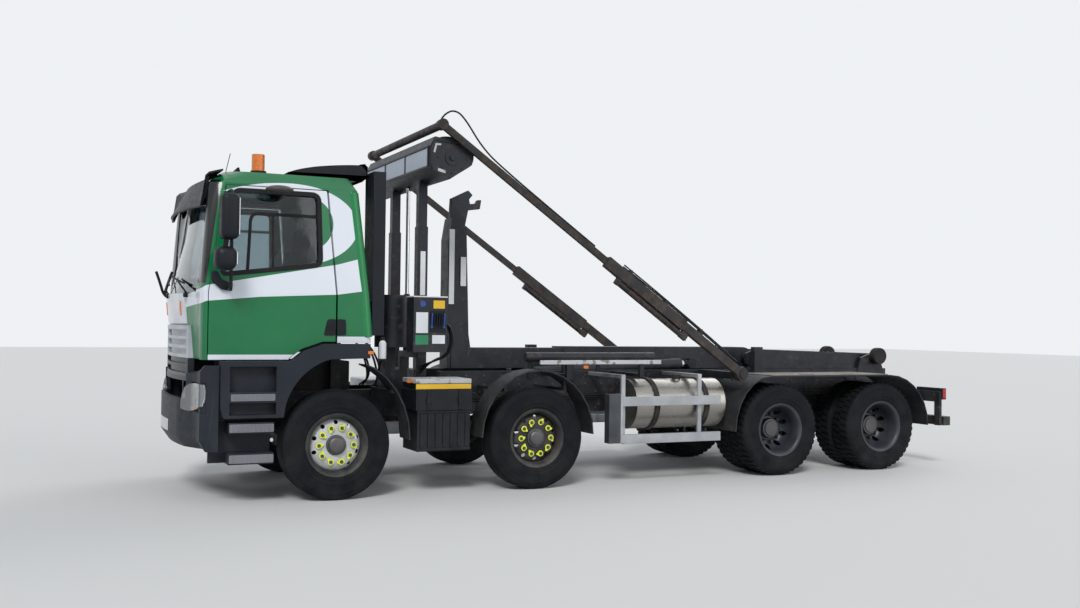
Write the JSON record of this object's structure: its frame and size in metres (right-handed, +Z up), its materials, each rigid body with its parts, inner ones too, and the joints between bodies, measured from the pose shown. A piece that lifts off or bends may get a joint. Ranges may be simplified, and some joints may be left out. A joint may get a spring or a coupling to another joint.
{
  "type": "hook lift truck",
  "caption": "Rigid hook lift truck with a tilting day cab, two steered front axles, a rear bogie with twin wheels, a swinging hook boom and a sheeting gantry with a bow.",
  "frame": {"origin": "on the ground, in the middle of the overall length and width", "axes": "+X to the rear, +Y to the driver's right, +Z up"},
  "size_m": [9.32, 3, 3.716],
  "materials": {
    "cab_green": "gloss",
    "dark_plastic": "matt",
    "bumper_grey": "matt",
    "chassis_paint": "satin",
    "lift_paint": "satin",
    "worn_steel": "matt, rusty",
    "rod_chrome": "polished",
    "aluminium": "satin",
    "silver_paint": "satin",
    "glass": "clear",
    "lamp_glass": "gloss",
    "amber": "gloss",
    "seat_cloth": "matt",
    "wheel_rubber": "matt",
    "cast": "rough",
    "guard_grey": "matt",
    "roller_steel": "worn"
  },
  "bodies": {
    "chassis": {"chassis_frame": "chassis_paint", "engine_block": "cast", "front_bumper": "bumper_grey", "lamps": "lamp_glass", "steer_mudguards": "guard_grey", "rear_mudguards": "guard_grey", "front_axles": "cast", "rear_axles": "cast", "battery_box": "dark_plastic", "fuel_tank": "aluminium", "side_guards": "aluminium", "silencer": "aluminium", "hydraulic_unit": "silver_paint", "lift_frame": "lift_paint", "rear_bar": "chassis_paint", "sheeter_mast": "lift_paint", "arm_drives": "worn_steel"},
    "cab": {"cab_floor": "dark_plastic", "cab_front": "cab_green", "cab_sides": "cab_green", "cab_rear": "cab_green", "cab_roof": "cab_green", "windscreen": "glass", "grille": "dark_plastic", "visor": "dark_plastic", "roof_deflector": "dark_plastic", "beacon": "amber", "seats": "seat_cloth", "dashboard": "dark_plastic", "arch_flares": "bumper_grey", "air_intake": "dark_plastic"},
    "door_left": {"door_left": "cab_green", "door_glass_left": "glass", "mirrors_left": "dark_plastic"},
    "door_right": {"door_right": "cab_green", "door_glass_right": "glass", "mirrors_right": "dark_plastic"},
    "hand_wheel": {"hand_wheel": "dark_plastic"},
    "knuckle_1_left": {"knuckle_1_left": "cast"},
    "knuckle_1_right": {"knuckle_1_right": "cast"},
    "knuckle_2_left": {"knuckle_2_left": "cast"},
    "knuckle_2_right": {"knuckle_2_right": "cast"},
    "wheel_1_left": {"wheel_1_left": "wheel_rubber"},
    "wheel_1_right": {"wheel_1_right": "wheel_rubber"},
    "wheel_2_left": {"wheel_2_left": "wheel_rubber"},
    "wheel_2_right": {"wheel_2_right": "wheel_rubber"},
    "wheel_3_left": {"wheel_3_left": "wheel_rubber"},
    "wheel_3_right": {"wheel_3_right": "wheel_rubber"},
    "wheel_4_left": {"wheel_4_left": "wheel_rubber"},
    "wheel_4_right": {"wheel_4_right": "wheel_rubber"},
    "rear_rollers": {"rear_rollers": "roller_steel"},
    "tip_frame": {"tip_frame": "lift_paint"},
    "main_boom": {"main_boom": "lift_paint"},
    "jib": {"jib": "lift_paint"},
    "lift_barrels": {"lift_barrels": "lift_paint"},
    "lift_rods": {"lift_rods": "rod_chrome"},
    "sheeter_arms": {"sheeter_arms": "worn_steel"},
    "sheeter_bow": {"sheeter_bow": "worn_steel"},
    "sheeter_gantry": {"sheeter_housing": "silver_paint"}
  },
  "joints": [
    {"name": "cab_tilt", "type": "hinge", "parent": "chassis", "child": "cab", "pos_m": [-4.51, 0, 1.22], "axis": [0, -1, 0], "range_deg": [0, 55]},
    {"name": "door_left_hinge", "type": "hinge", "parent": "cab", "child": "door_left", "pos_m": [-4.31, -1.15, 2.1], "axis": [0, 0, -1], "range_deg": [0, 75]},
    {"name": "door_right_hinge", "type": "hinge", "parent": "cab", "child": "door_right", "pos_m": [-4.31, 1.15, 2.1], "axis": [0, 0, 1], "range_deg": [0, 75]},
    {"name": "steering", "type": "hinge", "parent": "chassis", "child": "knuckle_1_left", "pos_m": [-3.11, -0.95, 0.522], "axis": [0, 0, 1], "range_deg": [-40, 40]},
    {"name": "steer_1_right", "type": "hinge", "parent": "chassis", "child": "knuckle_1_right", "pos_m": [-3.11, 0.95, 0.522], "axis": [0, 0, 1], "range_deg": [-40, 40]},
    {"name": "steer_2_left", "type": "hinge", "parent": "chassis", "child": "knuckle_2_left", "pos_m": [-1.02, -0.95, 0.522], "axis": [0, 0, 1], "range_deg": [-26, 26]},
    {"name": "steer_2_right", "type": "hinge", "parent": "chassis", "child": "knuckle_2_right", "pos_m": [-1.02, 0.95, 0.522], "axis": [0, 0, 1], "range_deg": [-26, 26]},
    {"name": "hand_wheel_turn", "type": "hinge", "parent": "cab", "child": "hand_wheel", "pos_m": [-3.99, 0.56, 2.08], "axis": [0.6941, 0, 0.7198], "range_deg": [-640, 640]},
    {"name": "wheel_1_left_spin", "type": "hinge", "parent": "knuckle_1_left", "child": "wheel_1_left", "pos_m": [-3.11, -1.07, 0.522], "axis": [0, 1, 0], "continuous": true},
    {"name": "wheel_1_right_spin", "type": "hinge", "parent": "knuckle_1_right", "child": "wheel_1_right", "pos_m": [-3.11, 1.07, 0.522], "axis": [0, 1, 0], "continuous": true},
    {"name": "wheel_2_left_spin", "type": "hinge", "parent": "knuckle_2_left", "child": "wheel_2_left", "pos_m": [-1.02, -1.07, 0.522], "axis": [0, 1, 0], "continuous": true},
    {"name": "wheel_2_right_spin", "type": "hinge", "parent": "knuckle_2_right", "child": "wheel_2_right", "pos_m": [-1.02, 1.07, 0.522], "axis": [0, 1, 0], "continuous": true},
    {"name": "wheel_3_left_spin", "type": "hinge", "parent": "chassis", "child": "wheel_3_left", "pos_m": [2.04, -0.92, 0.522], "axis": [0, 1, 0], "continuous": true},
    {"name": "wheel_3_right_spin", "type": "hinge", "parent": "chassis", "child": "wheel_3_right", "pos_m": [2.04, 0.92, 0.522], "axis": [0, 1, 0], "continuous": true},
    {"name": "wheel_4_left_spin", "type": "hinge", "parent": "chassis", "child": "wheel_4_left", "pos_m": [3.52, -0.92, 0.522], "axis": [0, 1, 0], "continuous": true},
    {"name": "wheel_4_right_spin", "type": "hinge", "parent": "chassis", "child": "wheel_4_right", "pos_m": [3.52, 0.92, 0.522], "axis": [0, 1, 0], "continuous": true},
    {"name": "rear_rollers_spin", "type": "hinge", "parent": "chassis", "child": "rear_rollers", "pos_m": [4.13, 0, 1.34], "axis": [0, 1, 0], "continuous": true},
    {"name": "tip", "type": "hinge", "parent": "chassis", "child": "tip_frame", "pos_m": [3.97, 0, 1.245], "axis": [0, 1, 0], "range_deg": [0, 50]},
    {"name": "boom_swing", "type": "hinge", "parent": "tip_frame", "child": "main_boom", "pos_m": [2.29, 0, 1.31], "axis": [0, -1, 0], "range_deg": [-140, 0]},
    {"name": "jib_slide", "type": "slide", "parent": "main_boom", "child": "jib", "axis": [-1, 0, 0], "range_m": [-1, 0]},
    {"name": "lift_barrel_turn", "type": "hinge", "parent": "chassis", "child": "lift_barrels", "pos_m": [-0.66, 0, 1.15], "axis": [0, 1, 0], "range_deg": [-9.22, 0]},
    {"name": "lift_rod_slide", "type": "slide", "parent": "lift_barrels", "child": "lift_rods", "axis": [0.9989, 0, 0.0476], "range_m": [0, 1.5408]},
    {"name": "gantry_lift", "type": "slide", "parent": "chassis", "child": "sheeter_gantry", "axis": [0, 0, 1], "range_m": [0, 0.6]},
    {"name": "sheet_arm_swing", "type": "hinge", "parent": "chassis", "child": "sheeter_arms", "pos_m": [1.52, 0, 1.16], "axis": [0, 1, 0], "range_deg": [0, 130]},
    {"name": "bow_slide", "type": "slide", "parent": "sheeter_arms", "child": "sheeter_bow", "axis": [-0.8221, 0, 0.5693], "range_m": [0, 0.84]}
  ],
  "couplings": [
    {"joint": "steer_1_right", "follows": "steering", "ratio": 1},
    {"joint": "steer_2_left", "follows": "steering", "ratio": 0.65},
    {"joint": "steer_2_right", "follows": "steering", "ratio": 0.65},
    {"joint": "hand_wheel_turn", "follows": "steering", "ratio": 16},
    {"joint": "lift_barrel_turn", "follows": "boom_swing", "ratio": 0.0657},
    {"joint": "lift_rod_slide", "follows": "boom_swing", "m_per_rad": -0.62975},
    {"joint": "bow_slide", "follows": "gantry_lift", "ratio": 1.4}
  ]
}
